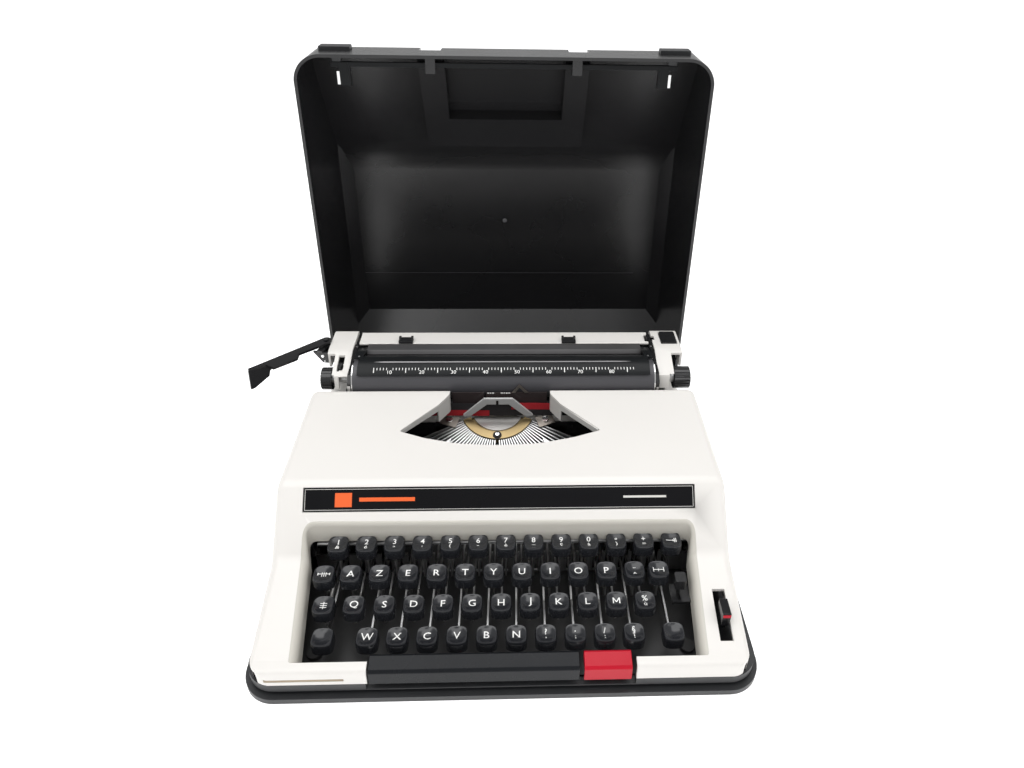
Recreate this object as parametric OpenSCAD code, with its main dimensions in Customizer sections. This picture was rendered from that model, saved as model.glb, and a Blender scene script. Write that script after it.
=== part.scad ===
// Portable typewriter standing in its open carrying case.
// Millimetres. Origin: centre of the case tray's underside. +X right, +Y to the rear, +Z up.
// Stored pose: lid open, keys up, carriage at its left end, return lever turned out.

/* [Case] */
// width of the case tray and lid, side to side
case_w = 332; // [310:1:350]
// depth of the case tray and lid, front to rear
case_d = 318; // [300:1:335]
// height of the closed case
case_h = 114.5; // [112:0.5:125]
// corner radius of the case in plan
case_r = 22; // [12:1:30]
// wall thickness of the moulded lid
lid_t = 2.5; // [1.5:0.1:3]
// how far the lid stands open
lid_open = 92; // [0:1:92]

/* [Machine] */
// distance from one key to the next in a row
key_pitch = 19.05; // [18:0.05:20]
// width of a key cap
cap_w = 14.3; // [12:0.1:15]
// depth of a key cap, front to rear
cap_d = 14; // [12:0.1:15]
// height of a key cap
cap_h = 9.5; // [7:0.5:11]
// thickness of the sheet-steel key levers and type bars
lever_t = 1.5; // [1:0.1:2]
// radius of the platen's rubber
platen_r = 16; // [14:0.5:16.5]
// radius of the platen knobs
knob_r = 9; // [7:0.5:13]
// length of the carriage return lever
return_len = 66; // [60:1:75]
// number of resting type bars on each side of the middle one
bars_side = 20; // [10:1:21]
// wall of the machine's shell
shell_t = 2; // [1.5:0.1:3]

/* [Hidden] */
$fn = 48;
e = 0.01;
run = 0.05;
hinge_y = 154;
hinge_z = 10;
lid_x = case_w / 2;
tray_front = -case_d / 2;
tray_wall_x = lid_x - 3.2;
tray_wall_front = tray_front + 3.2;
tray_wall_rear = 150;
cream = [0.93, 0.92, 0.88];
black = [0.05, 0.05, 0.055];
charcoal = [0.10, 0.10, 0.11];
steel = [0.62, 0.62, 0.62];
dark_steel = [0.30, 0.30, 0.31];
bronze = [0.45, 0.38, 0.24];
red = [0.78, 0.07, 0.12];
shaft_y = 12;
shaft_z = 21;
platen_y = 60;
platen_z = 88;
// key rows: y of the cap centre, z of the cap top
row_y = [-79.3, -97.1, -114.9, -132.7];
row_z = [53.1, 44.9, 36.7, 28.5];
row1_x0 = -113.8;
row2_x0 = -102.9;
row3_x0 = -78.6;
row4_x0 = -87.7;
// type basket: middle of the ring and its lean
ring_x = -7.4;
ring_y = 51;
ring_z = 64.7;
ring_tilt = 16.4;
bar_y = 14;
bar_z = 54;
bar_rest = 195;
slope_a = 29.15;
slope_y = -157;
slope_z = 49;
handle_s = 8;
handle_n = -6.4;
lever_px = -151;
lever_py = 88;
lever_dir = 219;

// plate outline (y, z) drawn from x0 to x1
module xprism(pts, x0, x1) {
    translate([x0, 0, 0])
        rotate([90, 0, 90])
            linear_extrude(x1 - x0)
                polygon(pts);
}

// plate outline (x, z) drawn from y0 to y1
module yprism(pts, y0, y1) {
    translate([0, y1, 0])
        rotate([90, 0, 0])
            linear_extrude(y1 - y0)
                polygon(pts);
}

// box between two corners
module span(a, b) {
    translate(a)
        cube(b - a);
}

// rounded rectangle in plan
module rrect(x0, x1, y0, y1, r) {
    translate([x0 + r, y0])
        square([x1 - x0 - 2 * r, y1 - y0]);
    translate([x0, y0 + r])
        square([x1 - x0, y1 - y0 - 2 * r]);
    for (x = [x0 + r, x1 - r])
        for (y = [y0 + r, y1 - r])
            translate([x, y])
                circle(r, $fn = 64);
}

module rbox(x0, x1, y0, y1, z0, z1, r) {
    translate([0, 0, z0])
        linear_extrude(z1 - z0)
            rrect(x0, x1, y0, y1, r);
}

// round bar along X
module xrod(x0, x1, y, z, r) {
    translate([x0, y, z])
        rotate([0, 90, 0])
            cylinder(r = r, h = x1 - x0);
}

// upright round bar
module zrod(x, y, z0, z1, r) {
    translate([x, y, z0])
        cylinder(r = r, h = z1 - z0);
}

// turns a piece drawn on the closed lid to the open pose
module on_lid() {
    translate([0, hinge_y, hinge_z])
        rotate([-lid_open, 0, 0])
            translate([0, -hinge_y, -hinge_z])
                children();
}

// frame lying on the lid's front slope: s up the slope, n outwards
module slope_box(x0, x1, s0, s1, n0, n1) {
    translate([0, slope_y, slope_z])
        rotate([slope_a, 0, 0])
            translate([x0, s0, n0])
                cube([x1 - x0, s1 - s0, n1 - n0]);
}

module slope_rod(x0, x1, s, n, r) {
    translate([0, slope_y, slope_z])
        rotate([slope_a, 0, 0])
            xrod(x0, x1, s, n, r);
}

// ---------------------------------------------------------------- case

module case_tray() {
    color(charcoal) {
        difference() {
            union() {
                rbox(-lid_x, lid_x, tray_front, case_d / 2, 0, 4.5, case_r);
                rbox(2 - tray_wall_x, tray_wall_x - 2, tray_wall_front + 2, tray_wall_rear, 4.4, 8.1, 18);
                rbox(-tray_wall_x, tray_wall_x, tray_wall_front, tray_wall_rear, 8, 14, 19);
            }
            rbox(4 - tray_wall_x, tray_wall_x - 4, tray_wall_front + 4, tray_wall_rear - 2.8, 2.2, 20, 15);
            // lower front wall under the bar keys
            span([-86, -160, 9], [83, -150, 20]);
        }
        for (s = [-1, 1])
            for (x = [98, 125.5])
                difference() {
                    span([s > 0 ? x : -x - 6.5, 148, 4.4], [s > 0 ? x + 6.5 : -x, 157.5, 13]);
                    xrod(s * x - 10, s * x + 10, hinge_y, hinge_z, 1.51);
                }
    }
}

module hinge_pins() {
    color(steel)
        for (s = [-1, 1])
            xrod(s > 0 ? 98 : -132, s > 0 ? 132 : -98, hinge_y, hinge_z, 1.5);
}

function lid_profile(t) = [
    [tray_front + t, 0], [tray_front + t * 0.9, 5], [slope_y + t * 0.85, slope_z - t * 0.5],
    [-53, 107 - t * 1.05], [-31, case_h - t], [128 - t * 0.4, case_h - t],
    [157 - t, 87 - t * 0.4], [159 - t, 0]];

function lid_section(t) = [
    [-lid_x + t, 0], [-lid_x + t + 2, 102 - t * 0.4], [-152 + t * 0.5, case_h - t],
    [152 - t * 0.5, case_h - t], [lid_x - t - 2, 102 - t * 0.4], [lid_x - t, 0]];

module lid_solid(t) {
    intersection() {
        xprism(lid_profile(t), -lid_x, lid_x);
        yprism(lid_section(t), tray_front - 1, 160);
        rbox(-lid_x + t, lid_x - t, tray_front + t, case_d / 2 - t, 0, case_h, case_r - t);
    }
}

module lid_shell() {
    color(black)
        on_lid() {
            difference() {
                union() {
                    difference() {
                        lid_solid(0);
                        difference() {
                            lid_solid(lid_t);
                            // raised surround that holds the carrying handle
                            difference() {
                                slope_box(-73, 69, -8, 100, -14, 2);
                                slope_box(-51.5, 49, -30, 66, -16, 3);
                            }
                        }
                    }
                    // guides of the latch bar on the front wall
                    for (x = [-62, 58])
                        difference() {
                            span([x - 4, -156, 31], [x + 4, -139.6, 39.6]);
                            span([x - 6, -148.8, 33.6], [x + 6, -141.2, 37.4]);
                        }
                }
                // handle channel
                slope_box(-71, -53.5, -12, 98, -12, 6);
                slope_box(51, 67, -12, 98, -12, 6);
                slope_box(-71, 67, 68, 98, -12, 6);
                slope_rod(-72.9, 68.9, handle_s, handle_n, 2.06);
                // open rim, higher behind the hinge
                span([-200, -200, -5], [200, hinge_y, 5]);
                span([-200, hinge_y - e, -5], [200, 200, 10]);
                for (s = [-1, 1]) {
                    span([s > 0 ? 97 : -105, 150, 0], [s > 0 ? 105 : -97, 165, 19]);
                    span([s > 0 ? 125 : -133, 150, 0], [s > 0 ? 133 : -125, 165, 19]);
                }
                // windows of the two latch pads
                for (x = [-150.3, 124.7])
                    span([x, -162, 27.7], [x + 25.6, -150, 39.3]);
            }
            for (s = [-1, 1])
                difference() {
                    xrod(s > 0 ? 105.3 : -124.7, s > 0 ? 124.7 : -105.3, hinge_y, hinge_z, 3.6);
                    xrod(-200, 200, hinge_y, hinge_z, 1.56);
                }
        }
}

module lid_handle() {
    color(black)
        on_lid() {
            difference() {
                union() {
                    slope_box(-69.5, 65.5, 8, 96, -11.4, -1.4);
                    slope_rod(-69.5, 65.5, handle_s, handle_n, 5);
                    slope_rod(-72.5, 68.5, handle_s, handle_n, 2);
                }
                slope_box(-55, 52.5, -10, 70.5, -20, 5);
            }
        }
}

module latch_bar() {
    color(black)
        on_lid() {
            span([-143, -148, 34], [141, -144, 37]);
            for (s = [-1, 1]) {
                x = s > 0 ? 128 : -130;
                span([x - 2.5, -144.5, 34], [x + 2.5, -129, 37]);
                span([s > 0 ? x : x - 6, -137, 34], [s > 0 ? x + 6 : x, -129, 37]);
            }
        }
}

module latch_buttons() {
    color(charcoal)
        on_lid()
            for (x = [-150, 125])
                union() {
                    span([x, -161, 28], [x + 25, -152.5, 39]);
                    span([x + 8, -152.6, 34], [x + 16, -148, 37]);
                }
}

// ------------------------------------------------------------- machine body

module machine_feet() {
    color(charcoal)
        for (x = [-125, 122])
            for (y = [-128, 112]) {
                zrod(x, y, 2.2, 2.8, 9);
                zrod(x, y, 2.8, 6.5, 5);
            }
}

module base_plate() {
    color(black)
        difference() {
            rbox(-149, 146, -146, 126, 2.8, 3.8, 10);
            for (x = [-125, 122])
                for (y = [-128, 112])
                    zrod(x, y, 2, 6, 5);
        }
}

module chassis() {
    touch_bracket();
    spool_posts();
    drum_post();
    color(dark_steel) {
        for (x = [-138, 135])
            difference() {
                union() {
                    span([x, -60, 3.8], [x + 2.5, 122, 54.5]);
                    span([x, 78, 54], [x + 2.5, 108, 58]);
                }
                xrod(x - 1, x + 4, shaft_y, shaft_z, 2.01);
            }
        span([-135.5, 120, 3.8], [135, 122, 50]);
        span([-135.5, 46, 40], [-60, 48, 54.5]);
        span([50, 46, 40], [135, 48, 54.5]);
    }
}

// outer side view of the shell (y, z)
shell_outer = [
    [-155.8, 14.4], [-155.4, 23.5], [-153.5, 26], [-147, 26.7], [-88, 47], [-83.5, 50], [-56.5, 81.5],
    [-52, 85.2], [-46, 86.4], [36, 89.9], [41, 89], [42, 84], [42, 58], [124, 57], [128, 53], [128, 10],
    [-134, 10], [-134, 14.4]];
shell_inner = [
    [-153.8, 5], [-153.8, 22.5], [-146.6, 24.6], [-87.3, 44.9], [-81.9, 48.6], [-54.9, 80], [-51.4, 83.1],
    [-45.8, 84.3], [36, 87.8], [39.9, 86], [39.9, 56], [123, 55], [126, 52], [126, 5]];

// plan outlines of the shell
shell_plan = [[-158.5, -142], [-156.6, -148.5], [-152, -153.4], [-145.5, -156], [143, -156],
    [149.5, -153.4], [154.1, -148.5], [156, -142], [155.3, -52], [153, 42], [151, 128], [-153.5, 128],
    [-155.5, 42], [-157.8, -52]];
shell_plan_in = [[-156.3, -142], [-154.5, -147.6], [-150.8, -151.8], [-145, -155], [142.5, -155],
    [148.3, -151.8], [152, -147.6], [153.8, -142], [153.1, -52], [150.8, 42], [148.8, 127], [-151.3, 127],
    [-153.3, 42], [-155.6, -52]];

vee = [[-45, 50], [-45, 36], [-49, 28], [-55, 21], [-78, -4], [-58, -12], [-36, -18], [-5, -20],
    [26, -18], [50, -12], [70, -4], [45, 21], [38.5, 28], [34.5, 36], [34.5, 50]];

// sides lean in and roll over at the top
module shell_mass(pts, plan, inset) {
    intersection() {
        xprism(pts, -170, 170);
        linear_extrude(120)
            polygon(plan);
        yprism([[-158.5 + inset, 0], [-158.5 + inset, 30], [-157 + inset, 80], [-151 + inset, 90.5 - inset],
            [148 - inset, 90.5 - inset], [154.5 - inset, 80], [156 - inset, 30], [156 - inset, 0]], -160, 140);
    }
}

module key_well(grow, z0) {
    translate([0, 0, z0])
        linear_extrude(100)
            polygon([[-134 - grow, -149 - grow], [128 + grow, -149 - grow], [128 + grow, -76],
                [124, -70 + grow], [-130, -70 + grow], [-134 - grow, -76]]);
}

module housing() {
    color(cream)
        difference() {
            union() {
                difference() {
                    shell_mass(shell_outer, shell_plan, 0);
                    shell_mass(shell_inner, shell_plan_in, 2.2);
                }
                // walls of the key well
                intersection() {
                    shell_mass(shell_outer, shell_plan, 0.5);
                    difference() {
                        key_well(shell_t, 30);
                        span([-200, -80, 0], [200, 0, 48]);
                    }
                    span([-200, -148, 24], [200, -60, 85]);
                }
                // turned-down edges of the type opening
                intersection() {
                    shell_mass(shell_outer, shell_plan, 0.5);
                    translate([0, 0, 78])
                        linear_extrude(20)
                            difference() {
                                polygon([[-47, 39], [-57, 22], [-80.5, -4], [-60, -5], [-40, 39]]);
                                polygon(vee);
                            }
                }
                intersection() {
                    shell_mass(shell_outer, shell_plan, 0.5);
                    translate([0, 0, 78])
                        linear_extrude(20)
                            difference() {
                                polygon([[36.5, 39], [47, 22], [74, -4], [52, -5], [30, 39]]);
                                polygon(vee);
                            }
                }
            }
            key_well(0, 3);
            // way for the space bar through the front lip
            span([-85, -160, 0], [83, -140, 40]);
            translate([0, 0, 60])
                linear_extrude(60)
                    polygon(vee);
            // rear opening under the carriage
            span([-139.5, 49, 40], [138.9, 112, 70]);
            // gap in the rear wall behind the type opening
            span([-58.5, 38, 30], [45, 43, 67]);
            span([-42, 42, 30], [28, 49.5, 67]);
            // slot in the left front lip
            span([-148, -157, 18], [-99, -155, 20]);
            // slot of the ribbon colour selector
            span([138, -141, 20], [146.5, -110, 60]);
            // recess of the name plate
            translate([0, -56.2, 81.9])
                rotate([49.4, 0, 0])
                    translate([-138.3, -16.3, -0.8])
                        cube([270.6, 16.6, 5]);
        }
}

module name_plate() {
    color(black)
        translate([0, -56.2, 81.9])
            rotate([49.4, 0, 0])
                translate([-138, -16, -0.8])
                    cube([270, 16, 1.2]);
}

module key_comb() {
    color(steel) {
        // guide comb across the front
        difference() {
            span([-134, -66.5, 6], [131, -65, 26]);
            for (i = [0:11])
                slit(row1_x0 + key_pitch * i);
            for (i = [0:10])
                slit(row2_x0 + key_pitch * i);
            for (i = [0:9])
                slit(row3_x0 + key_pitch * i);
            for (i = [0:9])
                slit(row4_x0 + key_pitch * i);
            for (x = [-120.5, -118.1, -116, -98.4, 104, 109.5, 115, 65, -60, 22])
                slit(x);
        }
        span([-135.5, -66.5, 3.8], [-133.9, -60, 26]);
        span([130.9, -66.5, 3.8], [135, -60, 26]);
        // stop rod behind the first row
        xrod(-135.5, 135, -66, 44, 1.6);
        for (x = [-137.3, 133.5])
            span([x, -67.6, 26], [x + 2, -60, 46]);
    }
}

module slit(x) {
    span([x - 1.3, -70, 7], [x + 1.3, -60, 27]);
}

module lever_shaft() {
    color(steel)
        xrod(-138, 137.5, shaft_y, shaft_z, 2);
}

// ------------------------------------------------------------------- keys

// one key: lever from the shaft, stem and cap
module key_lever(x, y, ztop, drop = 0) {
    zc = ztop - cap_h;
    zl = 19 - drop;
    difference() {
        translate([x - lever_t / 2, 0, 0])
            rotate([90, 0, 90])
                linear_extrude(lever_t) {
                    translate([shaft_y, shaft_z])
                        circle(4.5);
                    polygon([[shaft_y, 19], [shaft_y, 23.5], [0, 23.5], [-12, zl + 4], [y + 2, zl + 4],
                        [y + 2, zc + 1], [y - 2, zc + 1], [y - 2, zl], [-12, zl], [-2, 19]]);
                }
        xrod(x - 2, x + 2, shaft_y, shaft_z, 2 + run);
    }
}

module key_cap(x, y, ztop, w = cap_w) {
    difference() {
        intersection() {
            rbox(x - w / 2, x + w / 2, y - cap_d / 2, y + cap_d / 2, ztop - cap_h, ztop, 2.4);
            yprism([[x - w / 2 - 1, ztop - cap_h], [x - w / 2 - 0.4, ztop - cap_h],
                [x - w / 2 + 1.4, ztop], [x + w / 2 - 1.4, ztop], [x + w / 2 + 0.4, ztop - cap_h]],
                y - 10, y + 10);
        }
        translate([x, y, ztop + 29])
            sphere(r = 30, $fn = 48);
    }
}

module key(x, row, drop = 0, w = cap_w) {
    key_lever(x, row_y[row], row_z[row], drop);
    key_cap(x, row_y[row], row_z[row], w);
}

module key_row_1() {
    color(charcoal)
        for (i = [0:11])
            key(row1_x0 + key_pitch * i, 0);
}

module key_row_2() {
    color(charcoal)
        for (i = [0:10])
            key(row2_x0 + key_pitch * i, 1);
}

module key_row_3() {
    color(charcoal) {
        key(-98.4, 2);
        for (i = [0, 1, 2, 3, 5, 6, 7, 8, 9])
            key(row3_x0 + key_pitch * i, 2);
    }
}

module key_row_4() {
    color(charcoal)
        for (i = [0:9])
            key(row4_x0 + key_pitch * i, 3, 5.5);
}

module type_key() {
    color(charcoal)
        key(row3_x0 + key_pitch * 4, 2);
}

module shift_keys() {
    color(charcoal) {
        key(-116, 3, 5.5);
        key(109.5, 3, 5.5);
        xrod(-116.4, 109.9, -6, 13.2, 2);
        for (x = [-116, 109.5])
            span([x - 0.75, -10, 11.4], [x + 0.75, -2, 20]);
    }
}

module shift_lock_key() {
    color(charcoal)
        key(-118.1, 2);
}

module margin_release_key() {
    color(charcoal)
        key(-120.5, 1);
}

module tabulator_key() {
    color(charcoal)
        key(115, 0);
}

module tab_set_key() {
    color(charcoal)
        key(104, 1);
}

// bar key in the front lip with its pair of guide legs
module bar_key(x0, x1, legs) {
    xprism([[-144.6, 21], [-144.6, 27.2], [-146, 28], [-154, 25.5], [-155.4, 23.6], [-155.6, 13.5],
        [-153.8, 13.5], [-153.8, 21]], x0, x1);
    for (x = legs)
        span([x - 0.75, -146.5, 13], [x + 0.75, -145, 21.1]);
}

module space_bar() {
    color(charcoal)
        bar_key(-84, 47, [-60, 22]);
}

module tab_key() {
    color(red)
        bar_key(50, 80, [65]);
}

module color_selector() {
    color(black) {
        span([139.5, -133, 33], [145, -121, 44.5]);
        span([141, -131, 28], [143.5, -123, 33.5]);
    }
}

module touch_knob() {
    color(charcoal) {
        rbox(113.6, 121, -109, -101, 38, 46, 1.5);
        span([116.5, -106, 30], [118, -104, 38.5]);
    }
}

module touch_bracket() {
    color(dark_steel)
        difference() {
            span([112.5, -112, 27], [133.5, -98, 29.6]);
            span([116.1, -110.5, 26], [118.4, -99.5, 34]);
        }
}

// ------------------------------------------------------------- type basket

module ring_frame() {
    translate([ring_x, ring_y, ring_z])
        rotate([ring_tilt, 0, 0])
            children();
}

module ring_arc(r0, r1, z0, z1, a) {
    rotate([0, 0, 270 - a])
        rotate_extrude(angle = 2 * a, $fn = 96)
            translate([r0, z0])
                square([r1 - r0, z1 - z0]);
}

module type_segment() {
    color(bronze)
        ring_frame() {
            ring_arc(24, 30.6, -6, 0, 66);
            ring_arc(21.5, 24, -7, -3, 66);
            // fixing screw at the foot of the arc
            zrod(0, -27.3, -0.2, 1.1, 2.4);
        }
}

module segment_plate() {
    pivot_wire();
    color(steel)
        ring_frame() {
            ring_arc(2, 21.4, -4, -2.6, 66);
            for (s = [-1, 1])
                translate([s * 39, -13, -1])
                    rotate([0, 0, s * 20])
                        translate([-7, -5, 0])
                            cube([14, 10, 1.2]);
        }
}

module frame_screws() {
    color(steel)
        ring_frame()
            for (s = [-1, 1])
                zrod(s * 39, -13, 0.2, 2, 2.6);
}

module type_guide() {
    color([0.70, 0.70, 0.69])
        difference() {
            yprism([[-35, 66], [-35, 67.6], [-18, 84], [4.8, 84], [21.5, 67.2], [21.5, 66], [15.8, 65.5],
                [2, 78.1], [-15.7, 78.2], [-29.7, 65.9]], 37.2, 39.2);
            span([-8.4, 36, 77], [-6.4, 40, 82]);
        }
}

module typebar_set() {
    color(steel)
        ring_frame()
            for (i = [-bars_side:bars_side])
                if (i != 0)
                    rotate([0, 0, 3.25 * i])
                        rotate([1.5, 0, 0])
                            translate([-0.5, -70, -3.4])
                                cube([1, 39, 3]);
}

module type_bar() {
    color(steel)
        translate([ring_x - 0.5, bar_y, bar_z])
            rotate([90, 0, 90])
                rotate([0, 0, bar_rest]) {
                    linear_extrude(1)
                        difference() {
                            union() {
                                circle(2.2);
                                translate([0, -1.4])
                                    square([42, 2.8]);
                            }
                            circle(0.8 + run);
                        }
                    translate([38, -3, -0.7])
                        cube([5, 3, 2.4]);
                }
}

module pivot_wire() {
    color(steel)
        xrod(ring_x - 1.6, ring_x + 1.6, bar_y, bar_z, 0.8);
}

module card_holder() {
    color(dark_steel) {
        span([-43.7, 42.3, 66], [-18, 43, 86.5]);
        span([-1, 42.3, 66], [32.7, 43, 86.5]);
        span([-44.5, 42.3, 64.6], [33.5, 43, 66.1]);
        yprism([[4.1, 86.4], [10.3, 94.6], [17.7, 86.4], [14.7, 86.4], [10.4, 91.4], [7.1, 86.4]], 42.3, 43);
    }
}

module ribbon() {
    color(red)
        span([-85.7, 39.35, 65], [79.7, 39.65, 71.4]);
    color(black) {
        span([-85.7, 39.35, 71.4], [79.7, 39.65, 77.6]);
        span([-85.7, 2, 65], [-85.4, 39.5, 77.6]);
        span([79.4, 2, 65], [79.7, 39.5, 77.6]);
    }
}

module spool(x) {
    difference() {
        union() {
            zrod(x, 0, 63.2, 64.2, 21);
            zrod(x, 0, 64.2, 78.2, 16.8);
            zrod(x, 0, 78.2, 79.2, 21);
        }
        zrod(x, 0, 60, 82, 3 + run);
    }
}

module ribbon_spool_left() {
    color(black)
        spool(-103);
}

module ribbon_spool_right() {
    color(black)
        spool(97);
}

module spool_posts() {
    color(dark_steel)
        for (x = [-103, 97]) {
            zrod(x, 0, 59, 81, 3);
            rbox(x - 24, x + 24, -22, 22, 57.5, 59, 6);
            span([x > 0 ? 112 : -138, -10, 54], [x > 0 ? 137.5 : -118, 10, 59]);
        }
}

module mainspring_drum() {
    color(dark_steel)
        zrod(-95, 84, 30, 46, 22);
}

module drum_post() {
    color(steel) {
        zrod(-95, 84, 3.8, 29.6, 5);
    }
}

module escapement() {
    color(dark_steel) {
        span([-20, 66, 3.8], [10, 74, 52]);
        zrod(-5, 84, 40, 42, 13);
        zrod(-5, 84, 3.8, 48, 4);
    }
}

module bell() {
    color(steel) {
        translate([100, 84, 38])
            rotate_extrude()
                difference() {
                    intersection() {
                        circle(18);
                        square([20, 20]);
                    }
                    intersection() {
                        circle(16.8);
                        square([20, 20]);
                    }
                }
        zrod(100, 84, 3.8, 55.5, 2.5);
    }
}

// ---------------------------------------------------------------- carriage

module carriage_rails() {
    color(steel)
        for (y = [84, 102]) {
            span([-138, y - 1.5, 58], [137.5, y + 1.5, 66]);
        }
}

module carriage_frame() {
    lever_post();
    release_seat();
    color(dark_steel) {
        for (y = [84, 102])
            difference() {
                span([-126, y - 4, 59], [121, y + 4, 69.6]);
                span([-140, y - 1.9, 50], [140, y + 1.9, 66.4]);
            }
        span([-126, 80, 69.5], [121, 106, 71.5]);
        for (x = [-127, 121.1])
            difference() {
                xprism([[44.5, 66], [44.5, 94], [50, 99], [66, 100.5], [80, 102.2], [88, 101], [105, 101],
                    [105, 69], [76, 66]], x, x + 2.9);
                xrod(x - 1, x + 4, platen_y, platen_z, 4 + 0.06);
                xrod(x - 1, x + 4, 84, 97.6, 1.56);
                for (y = [49.3, 70.7])
                    xrod(x - 1, x + 4, y, 70.6, 1.56);
                xrod(x - 1, x + 4, x < 0 ? 66 : 94.5, x < 0 ? 95 : 95.8, 1.26);
            }
    }
}

module cover_side() {
    polygon([[107, 90], [107, 103], [104, 104], [77.5, 104.5], [52.4, 95.6], [50.6, 84], [52.5, 84],
        [54.3, 94.1], [77.8, 102.5], [103.8, 102], [105.1, 101], [105.1, 90]]);
}

module cover_left() {
    color(cream)
        difference() {
            union() {
                translate([-147, 0, 0])
                    rotate([90, 0, 90])
                        linear_extrude(19.8)
                            cover_side();
                xprism([[73.5, 90], [73.5, 102], [78, 104], [104, 103.5], [107, 102], [107, 90]], -147, -145.2);
            }
            span([-160, 40, 70], [-140.6, 73.5, 110]);
            span([-160, 40, 70], [-138.6, 58, 96]);
            span([-135.2, 40, 70], [-120, 54.4, 94.8]);
            span([-137.4, 57, 80], [-132.4, 72, 110]);
            // notch of the lever bracket
            span([-160, 81, 80], [-145.1, 95, 101]);
        }
}

module cover_right() {
    color(cream)
        difference() {
            union() {
                translate([124.2, 0, 0])
                    rotate([90, 0, 90])
                        linear_extrude(22.8)
                            cover_side();
                xprism([[73.5, 90], [73.5, 102], [78, 104], [104, 103.5], [107, 102], [107, 90]], 145.2, 147);
            }
            span([137.4, 40, 70], [160, 73.5, 110]);
            span([133.6, 40, 70], [160, 58, 96]);
            span([131, 85, 99], [145, 103, 110]);
            span([118, 91.5, 99], [126.5, 97.6, 110]);
        }
}

module rear_strip() {
    color(cream) {
        difference() {
            span([-123.9, 88, 101.4], [120.9, 104, 103]);
            span([118, 91, 100], [122, 100.5, 104]);
        }
        span([-123.9, 103.4, 92], [120.9, 105, 103]);
    }
}

module paper_table() {
    color(steel) {
        xprism([[77.8, 99.2], [79.5, 102.6], [87.8, 102.8], [87.8, 101.8], [80.4, 101.6], [78.8, 98.8]],
            -116, 113);
        intersection() {
            difference() {
                xrod(-116, 113, platen_y, platen_z, 20.4);
                xrod(-117, 114, platen_y, platen_z, 19.4);
            }
            span([-120, 77.2, 78], [120, 90, 99.4]);
        }
        for (x = [-124, 112.5])
            span([x, 79, 84], [x + 8.5, 80.2, 92]);
    }
}

module margin_stop(x) {
    span([x - 6, 87.6, 103.1], [x + 6, 94.5, 105.4]);
    for (s = [-1, 1])
        span([x + s * 5 - 1, 91.5, 105.3], [x + s * 5 + 1, 94.5, 106.8]);
}

module margin_stop_left() {
    color(black)
        margin_stop(-85);
}

module margin_stop_right() {
    color(black)
        margin_stop(52.5);
}

module platen() {
    color([0.11, 0.11, 0.115])
        difference() {
            xrod(-123.4, 120.4, platen_y, platen_z, platen_r);
            xrod(-130, 130, platen_y, platen_z, 10);
        }
}

module platen_shaft() {
    color(steel) {
        xrod(-123.4, 120.4, platen_y, platen_z, 10);
        xrod(-141.5, 138.1, platen_y, platen_z, 4);
    }
}

module platen_knob(x0, x1) {
    difference() {
        union() {
            xrod(x0, x1, platen_y, platen_z, knob_r - 0.4);
            for (a = [0:20:340])
                translate([x0, platen_y, platen_z])
                    rotate([a, 0, 0])
                        translate([0, -1, 0])
                            cube([x1 - x0, 2, knob_r]);
        }
    }
}

module knob_left() {
    color(black)
        platen_knob(-149.8, -141.5);
}

module knob_right() {
    color(black)
        platen_knob(138.1, 151);
}

module paper_bail() {
    color(black) {
        intersection() {
            difference() {
                xrod(-119, 116, platen_y, platen_z, 18.4);
                xrod(-120, 117, platen_y, platen_z, 17.2);
            }
            xprism([[platen_y, platen_z], [44, 102.9], [44, 120], [74, 120], [74, 98]], -130, 130);
        }
        for (x = [-119, 114])
            difference() {
                xprism([[66, 104.6], [70, 105.4], [84, 100.6], [86.4, 97.6], [84, 95.2], [81, 97], [69.5, 102.6]],
                    x, x + 2);
                xrod(x - 1, x + 3, 84, 97.6, 1.1);
            }
        xrod(-126.5, -117.2, 84, 97.6, 1.5);
        xrod(114.2, 123.5, 84, 97.6, 1.5);
    }
}

module feed_roller(y) {
    for (i = [0:3])
        xrod(-95 + 50 * i, -70 + 50 * i, y, 70.6, 3.4);
    xrod(-126.5, 123.4, y, 70.6, 1.5);
}

module feed_roller_front() {
    color(charcoal)
        feed_roller(49.3);
}

module feed_roller_rear() {
    color(charcoal)
        feed_roller(70.7);
}

module lever_post() {
    color(dark_steel) {
        span([-154.5, 82, 96], [-126.9, 94, 98.2]);
        zrod(lever_px, lever_py, 98.1, 108, 2);
    }
}

// turning sleeve that carries the lever and pulls the line feed
module lever_bracket() {
    color(dark_steel)
        difference() {
            union() {
                zrod(lever_px, lever_py, 101, 103, 3.6);
                translate([lever_px, lever_py, 101])
                    rotate([0, 0, 250])
                        translate([0, -2.5, 0])
                            cube([11, 5, 2]);
            }
            zrod(lever_px, lever_py, 90, 110, 2 + run);
        }
}

module return_lever() {
    color(black)
        translate([lever_px, lever_py, 0])
            rotate([0, 0, lever_dir])
                difference() {
                    union() {
                        zrod(0, 0, 105, 107, 4.2);
                        translate([0, 0, 105])
                            linear_extrude(2)
                                polygon([[0, -4.2], [0, 4.2], [8, 4.6], [26, 4.4], [30, 9.8], [50, 9.8],
                                    [53, 2], [return_len, 1], [return_len, -1.6], [46, -2.4]]);
                        // leaning finger plate
                        translate([0, 0, 106.2])
                            rotate([112, 0, 0])
                                translate([0, 0, -1])
                                    linear_extrude(2)
                                        polygon([[46, 0], [return_len + 0.5, 0], [return_len + 3, -15],
                                            [return_len, -15], [52.5, -10], [50.5, -6], [46, -4.5]]);
                    }
                    zrod(0, 0, 90, 110, 2 + run);
                }
}

module line_space_lever() {
    color(black) {
        xprism([[58.5, 97], [58.5, 101.2], [62.5, 101.8], [65, 100], [67.6, 96.6], [66, 93.4], [64, 94]],
            -135.9, -133.9);
        xrod(-136, -126.5, 66, 95, 1.2);
    }
}

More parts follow.
